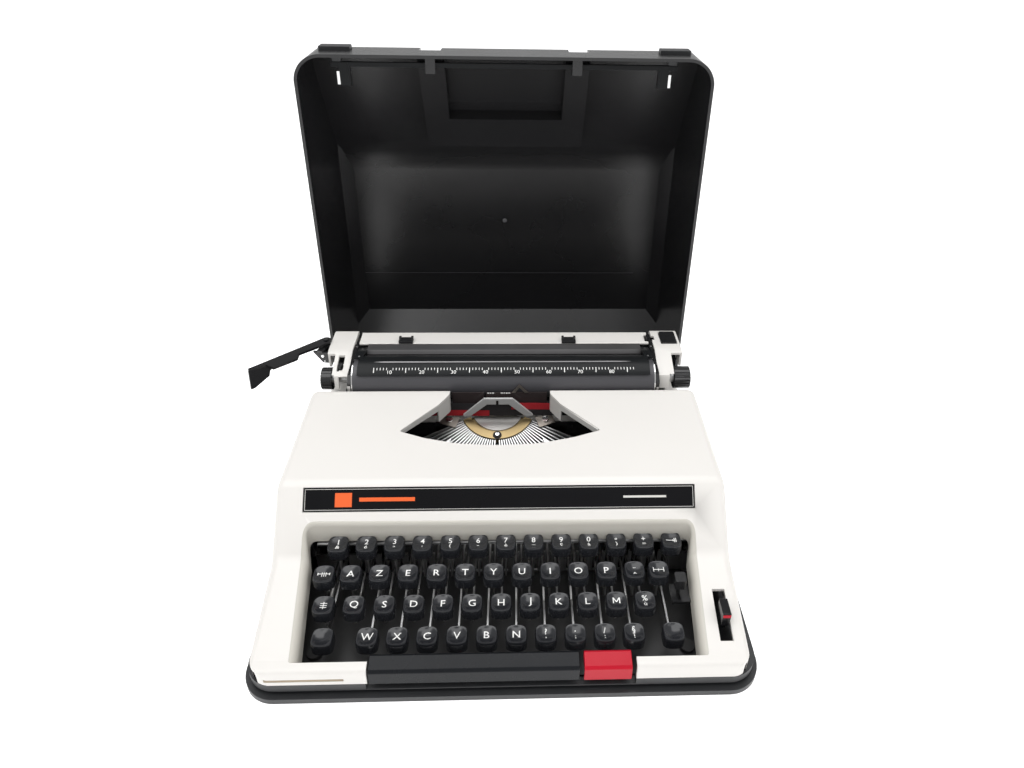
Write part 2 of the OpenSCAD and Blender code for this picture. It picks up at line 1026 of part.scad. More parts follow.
module paper_release_lever() {
    color(black) {
        xprism([[92.3, 95], [92.3, 106], [96.8, 106], [96.8, 95]], 119.2, 120.7);
        xrod(119.3, 123.6, 94.5, 95.8, 1.2);
    }
}

module carriage_release() {
    color(black)
        rbox(131.4, 144.6, 85.4, 102.6, 100.2, 105.4, 2);
}

module release_seat() {
    color(dark_steel)
        span([124, 84, 96], [145.1, 104, 98.8]);
}

case_tray();
hinge_pins();
lid_shell();
lid_handle();
latch_bar();
latch_buttons();
machine_feet();
base_plate();
chassis();
housing();
name_plate();
key_comb();
lever_shaft();
key_row_1();
key_row_2();
key_row_3();
key_row_4();
type_key();
shift_keys();
shift_lock_key();
margin_release_key();
tabulator_key();
tab_set_key();
space_bar();
tab_key();
color_selector();
touch_knob();
type_segment();
segment_plate();
frame_screws();
type_guide();
typebar_set();
type_bar();
card_holder();
ribbon();
ribbon_spool_left();
ribbon_spool_right();
mainspring_drum();
escapement();
bell();
carriage_rails();
carriage_frame();
cover_left();
cover_right();
rear_strip();
paper_table();
margin_stop_left();
margin_stop_right();
platen();
platen_shaft();
knob_left();
knob_right();
paper_bail();
feed_roller_front();
feed_roller_rear();
lever_bracket();
return_lever();
line_space_lever();
paper_release_lever();
carriage_release();
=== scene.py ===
"""Portable typewriter in its open case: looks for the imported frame. Metres, same frame as the CAD."""
import math
import bpy
import bmesh
from mathutils import Matrix, Vector


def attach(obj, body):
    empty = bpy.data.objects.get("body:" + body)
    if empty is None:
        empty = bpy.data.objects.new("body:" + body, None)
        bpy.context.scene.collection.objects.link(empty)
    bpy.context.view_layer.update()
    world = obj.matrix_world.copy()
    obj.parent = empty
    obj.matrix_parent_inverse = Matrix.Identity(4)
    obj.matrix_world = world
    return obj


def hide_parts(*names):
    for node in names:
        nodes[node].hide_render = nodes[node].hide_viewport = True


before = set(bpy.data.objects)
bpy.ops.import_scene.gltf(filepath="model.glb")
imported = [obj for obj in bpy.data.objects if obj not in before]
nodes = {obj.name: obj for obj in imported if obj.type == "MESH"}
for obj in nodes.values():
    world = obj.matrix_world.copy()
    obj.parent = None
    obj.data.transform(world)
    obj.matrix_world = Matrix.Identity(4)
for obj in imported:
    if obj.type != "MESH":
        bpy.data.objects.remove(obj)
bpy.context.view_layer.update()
MM = 0.001

# ------------------------------------------------------------------ materials


def socket(bsdf, name, value):
    bsdf.inputs[name].default_value = value


def finish_of(name, base, rough, metallic=0.0, coat=0.0, fleck=0.06, grain=900.0, bump=0.08,
              rough_swing=0.08, streak=None, spec=0.5, dust=0.0, coat_rough=0.08):
    """Principled finish with broken-up colour, roughness and a fine bump, all from noise in object space."""
    m = bpy.data.materials.new(name)
    m.use_nodes = True
    nt = m.node_tree
    bsdf = nt.nodes["Principled BSDF"]
    new = nt.nodes.new
    link = nt.links.new
    co = new("ShaderNodeTexCoord")
    src = co.outputs["Object"]
    if streak:
        mp = new("ShaderNodeMapping")
        mp.inputs["Scale"].default_value = streak
        link(src, mp.inputs["Vector"])
        src = mp.outputs["Vector"]
    big = new("ShaderNodeTexNoise")
    big.inputs["Scale"].default_value = 9.0
    big.inputs["Detail"].default_value = 5.0
    link(co.outputs["Object"], big.inputs["Vector"])
    fine = new("ShaderNodeTexNoise")
    fine.inputs["Scale"].default_value = grain
    fine.inputs["Detail"].default_value = 3.0
    link(src, fine.inputs["Vector"])
    ramp = new("ShaderNodeValToRGB")
    dark = [c * (1 - fleck) for c in base]
    lite = [min(1.0, c * (1 + fleck) + fleck * 0.01) for c in base]
    ramp.color_ramp.elements[0].position = 0.3
    ramp.color_ramp.elements[0].color = (*dark, 1)
    ramp.color_ramp.elements[1].position = 0.7
    ramp.color_ramp.elements[1].color = (*lite, 1)
    link(big.outputs["Fac"], ramp.inputs["Fac"])
    colour = ramp.outputs["Color"]
    if dust:
        up = new("ShaderNodeNewGeometry")
        sep = new("ShaderNodeSeparateXYZ")
        link(up.outputs["Normal"], sep.inputs["Vector"])
        mul = new("ShaderNodeMath")
        mul.operation = "MULTIPLY"
        link(sep.outputs["Z"], mul.inputs[0])
        mul.inputs[1].default_value = dust
        mix = new("ShaderNodeMix")
        mix.data_type = "RGBA"
        mix.clamp_factor = True
        link(mul.outputs["Value"], mix.inputs["Factor"])
        link(colour, mix.inputs["A"])
        mix.inputs["B"].default_value = (0.42, 0.41, 0.39, 1)
        colour = mix.outputs["Result"]
    link(colour, bsdf.inputs["Base Color"])
    rr = new("ShaderNodeMapRange")
    rr.inputs["To Min"].default_value = max(0.02, rough - rough_swing)
    rr.inputs["To Max"].default_value = min(1.0, rough + rough_swing)
    mid = new("ShaderNodeTexNoise")
    mid.inputs["Scale"].default_value = 60.0
    mid.inputs["Detail"].default_value = 6.0
    link(src, mid.inputs["Vector"])
    link(mid.outputs["Fac"], rr.inputs["Value"])
    link(rr.outputs["Result"], bsdf.inputs["Roughness"])
    bp = new("ShaderNodeBump")
    bp.inputs["Strength"].default_value = bump
    bp.inputs["Distance"].default_value = 0.0002
    link(fine.outputs["Fac"], bp.inputs["Height"])
    link(bp.outputs["Normal"], bsdf.inputs["Normal"])
    socket(bsdf, "Metallic", metallic)
    socket(bsdf, "Coat Weight", coat)
    socket(bsdf, "Coat Roughness", coat_rough)
    socket(bsdf, "Specular IOR Level", spec)
    return m


M = {
    "cream": finish_of("cream", (0.735, 0.715, 0.685), 0.36, fleck=0.015, grain=1500, bump=0.05, spec=0.42),
    "tray": finish_of("tray", (0.020, 0.021, 0.023), 0.42, fleck=0.12, grain=2200, bump=0.25),
    "lid": finish_of("lid", (0.0135, 0.0135, 0.0145), 0.25, fleck=0.12, grain=2400, bump=0.03,
                     rough_swing=0.03),
    "black": finish_of("black", (0.014, 0.014, 0.015), 0.25, fleck=0.12, grain=1400, bump=0.06),
    "gloss": finish_of("gloss", (0.006, 0.006, 0.007), 0.16, fleck=0.1, grain=1200, bump=0.02, spec=0.28),
    "plate": finish_of("plate", (0.004, 0.004, 0.005), 0.20, fleck=0.1, grain=1200, bump=0.01, spec=0.16),
    "bail": finish_of("bail", (0.012, 0.013, 0.014), 0.32, fleck=0.1, grain=1600, bump=0.03, spec=0.14),
    "bar": finish_of("bar", (0.009, 0.010, 0.012), 0.28, fleck=0.1, grain=2000, bump=0.03, spec=0.15),
    "gunmetal": finish_of("gunmetal", (0.26, 0.255, 0.26), 0.34, metallic=0.85, fleck=0.12, grain=700,
                          bump=0.04),
    "taupe": finish_of("taupe", (0.30, 0.27, 0.24), 0.38, metallic=0.8, fleck=0.2, grain=600, bump=0.08),
    "card": finish_of("card", (0.038, 0.029, 0.029), 0.22, fleck=0.25, grain=500, bump=0.02, spec=0.35),
    "dull_disc": finish_of("dull_disc", (0.55, 0.53, 0.51), 0.36, metallic=0.9, fleck=0.22, grain=500,
                           bump=0.06),
    # tan: painted shade for the gap of the slot in the left lip
    "tan": finish_of("tan", (0.36, 0.29, 0.20), 0.5, fleck=0.05, grain=1500, bump=0.02),
    "pan": finish_of("pan", (0.012, 0.012, 0.013), 0.35, fleck=0.2, grain=900, bump=0.1, dust=0.02),
    "key": finish_of("key", (0.016, 0.017, 0.020), 0.20, fleck=0.08, grain=2400, bump=0.03, coat=0.10,
                     spec=0.42),
    "red": finish_of("red", (0.46, 0.005, 0.020), 0.34, fleck=0.05, grain=1600, bump=0.02, spec=0.22),
    "white": finish_of("white", (0.82, 0.82, 0.80), 0.5, fleck=0.03, grain=2000, bump=0.02),
    "steel": finish_of("steel", (0.56, 0.56, 0.56), 0.30, metallic=1.0, fleck=0.10, grain=700, bump=0.05,
                       streak=(1.0, 8.0, 1.0)),
    "dull": finish_of("dull", (0.20, 0.20, 0.21), 0.40, metallic=0.9, fleck=0.18, grain=700, bump=0.08),
    "bright": finish_of("bright", (0.78, 0.78, 0.78), 0.16, metallic=1.0, fleck=0.05, grain=900, bump=0.02),
    "bronze": finish_of("bronze", (0.30, 0.225, 0.115), 0.36, metallic=1.0, fleck=0.22, grain=600, bump=0.1),
    "guide": finish_of("guide", (0.52, 0.52, 0.515), 0.42, metallic=0.25, fleck=0.06, grain=900, bump=0.05),
    "rubber": finish_of("rubber", (0.062, 0.061, 0.068), 0.46, fleck=0.08, grain=2600, bump=0.12),
    "foot": finish_of("foot", (0.020, 0.020, 0.020), 0.70, fleck=0.1, grain=1500, bump=0.2),
    "ink_black": finish_of("ink_black", (0.016, 0.014, 0.016), 0.75, fleck=0.2, grain=5000, bump=0.5),
    "ink_red": finish_of("ink_red", (0.42, 0.012, 0.020), 0.70, fleck=0.15, grain=5000, bump=0.5),
    # painted shade: a darker copy of the cream for the key-well walls, which lie in shade
    "cream_painted_shade": finish_of("cream_painted_shade", (0.52, 0.50, 0.45), 0.40, fleck=0.02, grain=1500, bump=0.05),
    # painted shade: a greyer copy of the cream for the turned-down edges of the type opening
    "cream_grey_painted_shade": finish_of("cream_grey_painted_shade", (0.60, 0.59, 0.565), 0.40, fleck=0.02, grain=1500, bump=0.05),
    "line": finish_of("line", (0.62, 0.61, 0.58), 0.4, fleck=0.03, grain=1500, bump=0.02),
    "orange": finish_of("orange", (0.80, 0.12, 0.02), 0.4, fleck=0.04, grain=1500, bump=0.02),
}

# ------------------------------------------------------------------ helpers


def soften(ob, width, seg=2, angle=35):
    w = ob.modifiers.new("weld", "WELD")
    w.merge_threshold = 0.00002
    b = ob.modifiers.new("edge", "BEVEL")
    b.width = width
    b.segments = seg
    b.limit_method = "ANGLE"
    b.angle_limit = math.radians(angle)
    b.harden_normals = False
    b.use_clamp_overlap = True
    n = ob.modifiers.new("normals", "WEIGHTED_NORMAL")
    n.keep_sharp = False


def dress(node, material, width=0.0003, seg=2):
    ob = nodes[node]
    ob.data.materials.clear()
    ob.data.materials.append(M[material])
    for p in ob.data.polygons:
        p.use_smooth = True
    soften(ob, width, seg)


CARRIED = {
    "case_tray": ("tray", 0.0008), "hinge_pins": ("steel", 0.0002), "lid_shell": ("lid", 0.0008),
    "lid_handle": ("lid", 0.0012), "latch_bar": ("bail", 0.0004), "latch_buttons": ("tray", 0.0008),
    "machine_feet": ("foot", 0.0003), "base_plate": ("pan", 0.0002), "chassis": ("black", 0.0003),
    "housing": ("cream", 0.0008), "name_plate": ("plate", 0.0004), "key_comb": ("steel", 0.0002),
    "lever_shaft": ("steel", 0.0002), "key_row_1": ("key", 0.0004), "key_row_2": ("key", 0.0004),
    "key_row_3": ("key", 0.0004), "key_row_4": ("key", 0.0004), "type_key": ("key", 0.0004),
    "shift_keys": ("key", 0.0004), "shift_lock_key": ("key", 0.0004), "margin_release_key": ("key", 0.0004),
    "tabulator_key": ("key", 0.0004), "tab_set_key": ("key", 0.0004), "space_bar": ("bar", 0.0007),
    "tab_key": ("red", 0.0006), "color_selector": ("gloss", 0.0005), "touch_knob": ("black", 0.0004),
    "type_segment": ("bronze", 0.0003), "segment_plate": ("taupe", 0.0003),
    "frame_screws": ("bright", 0.0003),
    "type_guide": ("guide", 0.0003), "typebar_set": ("steel", 0.0001), "type_bar": ("steel", 0.0001),
    "card_holder": ("card", 0.0001), "ribbon": ("ink_black", 0.00005), "ribbon_spool_left": ("black", 0.0003),
    "ribbon_spool_right": ("black", 0.0003), "mainspring_drum": ("dull", 0.0005),
    "escapement": ("dull", 0.0003), "bell": ("bright", 0.0002), "carriage_rails": ("steel", 0.0003),
    "carriage_frame": ("black", 0.0003), "cover_left": ("cream", 0.0010), "cover_right": ("cream", 0.0010),
    "rear_strip": ("cream", 0.0004), "paper_table": ("gunmetal", 0.0003),
    "margin_stop_left": ("black", 0.0004),
    "margin_stop_right": ("black", 0.0004), "platen": ("rubber", 0.0004), "platen_shaft": ("steel", 0.0003),
    "knob_left": ("black", 0.0012), "knob_right": ("black", 0.0012), "paper_bail": ("bail", 0.0003),
    "feed_roller_front": ("rubber", 0.0003), "feed_roller_rear": ("rubber", 0.0003),
    "lever_bracket": ("black", 0.0003), "return_lever": ("gloss", 0.0005),
    "line_space_lever": ("black", 0.0003),
    "paper_release_lever": ("black", 0.0002), "carriage_release": ("black", 0.0005),
}
for name, (material, width) in CARRIED.items():
    dress(name, material, width)

# ------------------------------------------------------------------ mesh building


def mesh_object(name, bm, materials, smooth=True):
    """A finished bmesh, in millimetres, as a linked object in metres."""
    bmesh.ops.recalc_face_normals(bm, faces=bm.faces)
    bmesh.ops.scale(bm, vec=(MM, MM, MM), verts=bm.verts)
    me = bpy.data.meshes.new(name)
    bm.to_mesh(me)
    bm.free()
    for p in me.polygons:
        p.use_smooth = smooth
    ob = bpy.data.objects.new(name, me)
    bpy.context.scene.collection.objects.link(ob)
    for m in materials:
        me.materials.append(M[m])
    return ob


def add_loft(bm, rings, cap=True, mat=0):
    """Closed rings of equal length joined into a skin, with flat ends."""
    vs = [[bm.verts.new(p) for p in ring] for ring in rings]
    n = len(rings[0])
    faces = []
    for a, b in zip(vs, vs[1:]):
        for i in range(n):
            faces.append(bm.faces.new((a[i], a[(i + 1) % n], b[(i + 1) % n], b[i])))
    if cap:
        faces.append(bm.faces.new(vs[0][::-1]))
        faces.append(bm.faces.new(vs[-1]))
    for f in faces:
        f.material_index = mat
    return faces


def add_box(bm, lo, hi, mat=0):
    (x0, y0, z0), (x1, y1, z1) = lo, hi
    add_loft(bm, [[(x0, y0, z0), (x1, y0, z0), (x1, y1, z0), (x0, y1, z0)],
                  [(x0, y0, z1), (x1, y0, z1), (x1, y1, z1), (x0, y1, z1)]], mat=mat)


def add_prism_x(bm, pts, x0, x1, mat=0):
    add_loft(bm, [[(x0, y, z) for y, z in pts], [(x1, y, z) for y, z in pts]], mat=mat)


def add_tube_x(bm, x0, x1, y, z, r, n=32, mat=0, steps=()):
    """Round bar along X; steps are (x, radius) pairs when the radius changes."""
    prof = list(steps) if steps else [(x0, r), (x1, r)]
    rings = [[(x, y + rr * math.cos(2 * math.pi * k / n), z + rr * math.sin(2 * math.pi * k / n))
              for k in range(n)] for x, rr in prof]
    add_loft(bm, rings, mat=mat)


def fillet(points, radii, n=5):
    """Open line through points with its corners rounded."""
    out = [Vector(points[0])]
    for i in range(1, len(points) - 1):
        p, a, b = Vector(points[i]), Vector(points[i - 1]), Vector(points[i + 1])
        da, db = (a - p), (b - p)
        half = da.angle(db) / 2
        r = radii[i]
        t = min(r / max(math.tan(half), 1e-4), da.length * 0.49, db.length * 0.49)
        p0, p1 = p + da.normalized() * t, p + db.normalized() * t
        if r < 0.05 or math.pi - 2 * half < 0.02:
            out.append(p)
            continue
        for k in range(n + 1):
            s = k / n
            out.append(p0 * (1 - s) ** 2 + p * 2 * s * (1 - s) + p1 * s ** 2)
    out.append(Vector(points[-1]))
    return out


def ring_of(points, radii, n=5):
    """Closed line with rounded corners."""
    m = len(points)
    out = []
    for i in range(m):
        seg = fillet([points[i - 1], points[i], points[(i + 1) % m]], [0, radii[i], 0], n)
        out += seg[1:-1]
    return out


def applied(ob):
    """The object's mesh with its modifiers, as a new mesh, so that it can be cut again."""
    dg = bpy.context.evaluated_depsgraph_get()
    me = bpy.data.meshes.new_from_object(ob.evaluated_get(dg))
    ob.modifiers.clear()
    ob.data = me


def cut(ob, tool, op="DIFFERENCE"):
    b = ob.modifiers.new("cut", "BOOLEAN")
    b.operation = op
    b.solver = "EXACT"
    b.object = tool
    applied(ob)


def drop(*obs):
    for o in obs:
        bpy.data.objects.remove(o, do_unlink=True)


def solid(rings, name="tool"):
    bm = bmesh.new()
    add_loft(bm, rings)
    return mesh_object(name, bm, [])


def prism_z(pts, z0, z1, name="tool"):
    return solid([[(x, y, z0) for x, y in pts], [(x, y, z1) for x, y in pts]], name)


def box_tool(lo, hi):
    bm = bmesh.new()
    add_box(bm, lo, hi)
    return mesh_object("tool", bm, [])


def stands_for(ob, body, slot_name, *cad):
    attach(ob, body)
    if cad:
        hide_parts(*cad)


def smooth_by_angle(ob, angle=32):
    """Sharp edges stay sharp in shading where faces meet at a clear angle."""
    bm = bmesh.new()
    bm.from_mesh(ob.data)
    for e in bm.edges:
        e.smooth = not (len(e.link_faces) == 2 and e.calc_face_angle(0) > math.radians(angle))
    bm.to_mesh(ob.data)
    bm.free()


# ------------------------------------------------------------------ machine shell

SHELL_X = -1.25
TOP_LINE = fillet(
    [(-155.8, 20.5), (-155.2, 26.2), (-147.5, 26.9), (-87.0, 47.2), (-54.5, 85.2), (36, 89.9), (42, 89.6),
     (42.2, 57.8),
     (124, 57), (127.8, 53)],
    [0, 4.5, 5, 14, 9, 0, 3, 2, 3, 0], 7)


LEAN = 0.025


def shell_half(y):
    pts = [(-155.8, 157.25), (-52, 156.9), (42, 155.2), (128, 152.5)]
    for (y0, h0), (y1, h1) in zip(pts, pts[1:]):
        if y <= y1:
            return h0 + (h1 - h0) * (y - y0) / (y1 - y0)
    return pts[-1][1]


def shell_ring(y, top, inset, low, n=9):
    """Cross-section of the shell: upright sides that lean in a little and roll into the top."""
    h = shell_half(y) - inset
    r = max(0.6, min(6.5 - inset, (top - 14) * 0.32))
    lean = LEAN * max(0.0, top - r - 28)
    side = []
    zs = [low, low + (top - r - low) * 0.35, low + (top - r - low) * 0.7, top - r]
    for z in zs:
        side.append((h - LEAN * max(0.0, z - 28), z))
    cx = h - lean - r
    for k in range(1, n + 1):
        a = math.pi / 2 * k / n
        side.append((cx + r * math.cos(a), top - r + r * math.sin(a)))
    for k in (0.75, 0.5, 0.25):
        side.append((cx * k, top))
    full = [(SHELL_X + x, y, z) for x, z in side] + [(SHELL_X, y, top)]
    return full + [(SHELL_X - x, y, z) for x, z in side[::-1]]


def shell_solid(inset, low):
    rings = []
    last = None
    for p in TOP_LINE:
        y, top = p.x, p.y
        if last is not None and y - last < 0.02:
            y = last + 0.02
        last = y
        rings.append(shell_ring(y, top, 0, low))
    if inset:
        rings = []
        line = [Vector(p) for p in TOP_LINE]
        last = None
        for i, p in enumerate(line):
            t = (line[min(i + 1, len(line) - 1)] - line[max(i - 1, 0)]).normalized()
            q = p + Vector((t.y, -t.x)) * inset
            y = min(max(q.x, -156 + inset), 128 - inset)
            if last is not None and y - last < 0.02:
                y = last + 0.02
            last = y
            rings.append(shell_ring(y, q.y, inset, low))
    return solid(rings, "shell")


# plan outline of the key opening, left front corner first
WELL = [(-133.2, -149), (-137.6, -88), (-137.6, -71.2), (131.7, -72.0), (131.7, -88), (129.0, -149)]


def well_solid(grow, z0, z1):
    pts = [(x + (grow if x > 0 else -grow), y + (grow if y > -80 else 0)) for x, y in WELL]
    line = ring_of(pts, [1.5, 30, 12, 12, 30, 1.5], 8)
    return solid([[(v.x, v.y, z) for v in line] for z in (z0, z1)])


def top_z(y):
    for a, b in zip(TOP_LINE, TOP_LINE[1:]):
        if y <= b.x:
            return a.y + (b.y - a.y) * (y - a.x) / max(b.x - a.x, 1e-6)
    return TOP_LINE[-1].y


VEE = [(v.x, v.y) for v in fillet(
    [(-45, 52), (-45, 36), (-52.5, 24), (-79.5, -5.2), (-60, -12.5), (-34, -18.6), (-5, -20.3), (25, -18.6),
     (51, -12.5),
     (71.5, -5.2), (42.5, 24), (35, 36), (35, 52)],
    [0, 6, 10, 1.6, 20, 60, 80, 60, 20, 1.6, 10, 6, 0], 5)]

outer = shell_solid(0, 10)
corner_ring = ring_of([(-158.5, -156), (156, -156), (156, 130), (-158.5, 130)], [16, 13.5, 2, 2], 8)
corners = solid([[(v.x, v.y, z) for v in corner_ring] for z in (0, 100)])
cut(outer, corners, "INTERSECT")
drop(corners)
inner = shell_solid(2.2, 4)
cut(outer, inner)
drop(inner)
tools = [well_solid(0, 3, 100), box_tool((-85, -160, 0), (83, -140, 40)), prism_z(VEE, 60, 120),
         box_tool((-139.5, 49, 40), (138.9, 112, 70)), box_tool((-148, -158, 17.4), (-99, -155, 19.8)),
         box_tool((-170, -160, 0), (170, -134, 14.4)), box_tool((-58.5, 38, 30), (45, 43, 67)),
         box_tool((138, -141, 20), (146.5, -110, 60))]
bm = bmesh.new()
add_box(bm, (-138.3, -16.3, -0.8), (132.3, 0.3, 5))
bmesh.ops.transform(bm, matrix=Matrix.Translation((0, -56.2, 81.9)) @ Matrix.Rotation(math.radians(49.4), 4,
    "X"),
                    verts=bm.verts)
tools.append(mesh_object("tool", bm, []))
for t in tools:
    cut(outer, t)
drop(*tools)
outer.name = outer.data.name = "shell_skin"
outer.data.materials.clear()
outer.data.materials.append(M["cream"])
soften(outer, 0.0007, 2, 40)
stands_for(outer, "machine", "cream_shell", "housing")

# walls of the key well: the shell rolls over and down all round the opening; their darker cream is painted
# shade
mass = shell_solid(0.4, 10)
rim = fillet([(x, y) for x, y in WELL], [0, 30, 12, 12, 30, 0], 10)
bm = bmesh.new()
rings = []
for i, p in enumerate(rim):
    t = (rim[min(i + 1, len(rim) - 1)] - rim[max(i - 1, 0)]).normalized()
    inward = Vector((t.y, -t.x))
    z = top_z(p.y) - 0.12
    rear = min(1.0, max(0.0, (p.y + 88) / 15))
    deep = 11.0 + 6.0 * rear
    reach = 5.4 - 3.6 * rear
    drop_to = 6.5 - 3.0 * rear
    face = []
    for k in range(8):
        a = math.pi / 2 * k / 7
        face.append((reach * math.sin(a), -drop_to * (1 - math.cos(a))))
    face.append((reach + 0.5, -deep))
    back = [(reach - 0.7, -deep), (reach - 1.3, -drop_to - 1.1), (reach * 0.45, -drop_to * 0.7 - 0.6),
            (-0.4, -2.2),
            (-1.2, -1.9)]
    rings.append([(p.x + inward.x * d, p.y + inward.y * d, z + h) for d, h in face + back])
add_loft(bm, rings)
wall = mesh_object("well_wall", bm, ["cream_painted_shade"])
smooth_by_angle(wall, 40)
stands_for(wall, "machine", "cream_shell")

# thin tan strip in the slot of the left lip: painted shade in the gap of the slot
bm = bmesh.new()
add_box(bm, (-147.8, -155.7, 17.5), (-99.2, -153.6, 19.7))
slot_shade = mesh_object("lip_slot_painted_shade", bm, ["tan"])
stands_for(slot_shade, "machine", "cream_shell")

# turned-down edges of the type opening, in a greyer cream that is painted shade
for tag, side in (("left", -1), ("right", 1)):
    c = -5
    line = [(c + side * 40, 42), (c + side * 40, 36), (c + side * 47.5, 24), (c + side * 59, 11.5),
            (c + side * 74, -4.6)]
    path = fillet(line, [0, 6, 10, 0, 0], 5)
    bm = bmesh.new()
    rings = []
    for i, p in enumerate(path):
        t = (path[min(i + 1, len(path) - 1)] - path[max(i - 1, 0)]).normalized()
        nrm = Vector((t.y, -t.x)) * side
        depth = 16 if p.y > 13 else 5.5
        if i and depth != last_depth:
            rings.append([(v[0], v[1] - 0.02, (88.5 - depth) if v[2] < 80 or j in (0, 1) else v[2])
                          for j, v in enumerate(rings[-1])])
        last_depth = depth
        a, b = p, p - nrm * 1.4
        rings.append([(a.x, a.y, 88.5 - depth), (b.x, b.y, 88.5 - depth), (b.x, b.y, 87.6), (a.x, a.y, 87.6)])
    add_loft(bm, rings)
    flange = mesh_object("opening_edge_" + tag, bm, ["cream_grey_painted_shade"])
    cut(flange, mass, "INTERSECT")
    soften(flange, 0.0003, 2, 35)
    stands_for(flange, "machine", "cream_shell")
drop(mass)

# frame line and plain marks on the name plate
PLATE = Matrix.Translation((0, -56.2, 81.9)) @ Matrix.Rotation(math.radians(49.4), 4, "X")


def on_plate(name, boxes, material):
    bm = bmesh.new()
    for x0, x1, s0, s1 in boxes:
        add_box(bm, (x0, s0, 0.38), (x1, s1, 0.52))
    bmesh.ops.transform(bm, matrix=PLATE, verts=bm.verts)
    ob = mesh_object(name, bm, [material], smooth=False)
    stands_for(ob, "machine", "plate_black")


on_plate("plate_frame", [(-137.0, 131.0, -1.25, -0.95), (-137.0, 131.0, -15.05, -14.75),
                         (-137.0, -136.7, -15.05, -0.95),
                         (130.7, 131.0, -15.05, -0.95)], "line")
on_plate("plate_mark", [(-116.5, -105, -13.0, -3.6), (-100, -62, -9.4, -6.8)], "orange")
on_plate("plate_stripe", [(82, 112, -8.6, -7.2)], "line")

# ------------------------------------------------------------------ keys

CAP_RINGS = [(-9.5, 0.93), (-9.2, 0.97), (-5.0, 0.985), (-1.9, 0.975), (-1.0, 0.955), (-0.45, 0.93),
             (-0.1, 0.89)]
DISH = [(0.83, -0.12, 3.4), (0.79, -0.30, 2.3), (0.68, -0.72, 2.0), (0.54, -1.10, 2.0), (0.40, -1.38, 2.0),
        (0.26, -1.58, 2.0), (0.12, -1.68, 2.0), (0.03, -1.70, 2.0)]


def cap_outline(w, d, scale, n=40, square=4.6):
    """Rounded-square outline; square 2 is a plain circle or ellipse."""
    pts = []
    for k in range(n):
        a = 2 * math.pi * k / n
        c, s = math.cos(a), math.sin(a)
        x = w / 2 * math.copysign(abs(c) ** (2 / square), c)
        y = d / 2 * math.copysign(abs(s) ** (2 / square), s)
        if square > 3:
            y *= 0.84 + 0.16 * (1 - (2 * x / w) ** 2)
        pts.append((x * scale, y * scale))
    return pts


def dish_z(u):
    """Depth of the finger dish at a fraction u of the cap's half size."""
    steps = [(0.0, -1.70)] + [(s, z) for s, z, _ in DISH[::-1]] + [(0.89, -0.1), (1.2, -0.1)]
    for (u0, z0), (u1, z1) in zip(steps, steps[1:]):
        if u <= u1:
            return z0 + (z1 - z0) * (u - u0) / (u1 - u0)
    return -0.1


def add_cap(bm, x, y, top, w=14.3, d=14.0, mat=0):
    rings = [[(x + px, y + py, top + z) for px, py in cap_outline(w, d, s)] for z, s in CAP_RINGS]
    rings += [[(x + px, y + py, top + z) for px, py in cap_outline(w, d, s, square=q)] for s, z, q in DISH]
    add_loft(bm, rings, mat=mat)


def text_faces(body, size, widen=1.12):
    """Flat outline of a character as (vertices, faces), centred on the origin."""
    cu = bpy.data.curves.new("mark", "FONT")
    cu.body = body
    cu.size = size
    cu.align_x = "CENTER"
    cu.align_y = "CENTER"
    cu.offset = size * 0.006
    cu.resolution_u = 3
    ob = bpy.data.objects.new("mark", cu)
    bpy.context.scene.collection.objects.link(ob)
    dg = bpy.context.evaluated_depsgraph_get()
    me = bpy.data.meshes.new_from_object(ob.evaluated_get(dg))
    verts = [(v.co.x * widen, v.co.y) for v in me.vertices]
    me.calc_loop_triangles()
    faces = [tuple(t.vertices) for t in me.loop_triangles]
    bpy.data.objects.remove(ob, do_unlink=True)
    bpy.data.meshes.remove(me)
    if verts:
        mx = (min(v[0] for v in verts) + max(v[0] for v in verts)) / 2
        my = (min(v[1] for v in verts) + max(v[1] for v in verts)) / 2
        verts = [(vx - mx, vy - my) for vx, vy in verts]
    return verts, faces


def add_mark(bm, verts, faces, place, mat):
    vs = [bm.verts.new(place(vx, vy)) for vx, vy in verts]
    for f in faces:
        try:
            bm.faces.new([vs[i] for i in f]).material_index = mat
        except ValueError:
            pass


def key_mark(bm, x, y, top, body, size, dy=0.0, mat=2):
    if body in STROKES:
        verts, faces = [], []
        for ax, ay, bx, by in STROKES[body]:
            side = Vector((by - ay, ax - bx)).normalized() * 0.36
            k = len(verts)
            verts += [(ax + side.x, ay + side.y), (ax - side.x, ay - side.y), (bx - side.x, by - side.y),
                      (bx + side.x, by + side.y)]
            faces.append((k, k + 1, k + 2, k + 3))
    elif body in SIGNS:
        faces, verts = [], []
        for x0, x1, y0, y1 in SIGNS[body]:
            k = len(verts)
            verts += [(x0, y0), (x1, y0), (x1, y1), (x0, y1)]
            faces.append((k, k + 1, k + 2, k + 3))
    else:
        verts, faces = text_faces(body, size)

    def place(vx, vy):
        px, py = vx, vy + dy
        u = math.hypot(px / 7.15, py / 7.0)
        return (x + px, y + py, top + dish_z(u) + 0.14)
    add_mark(bm, verts, faces, place, mat)


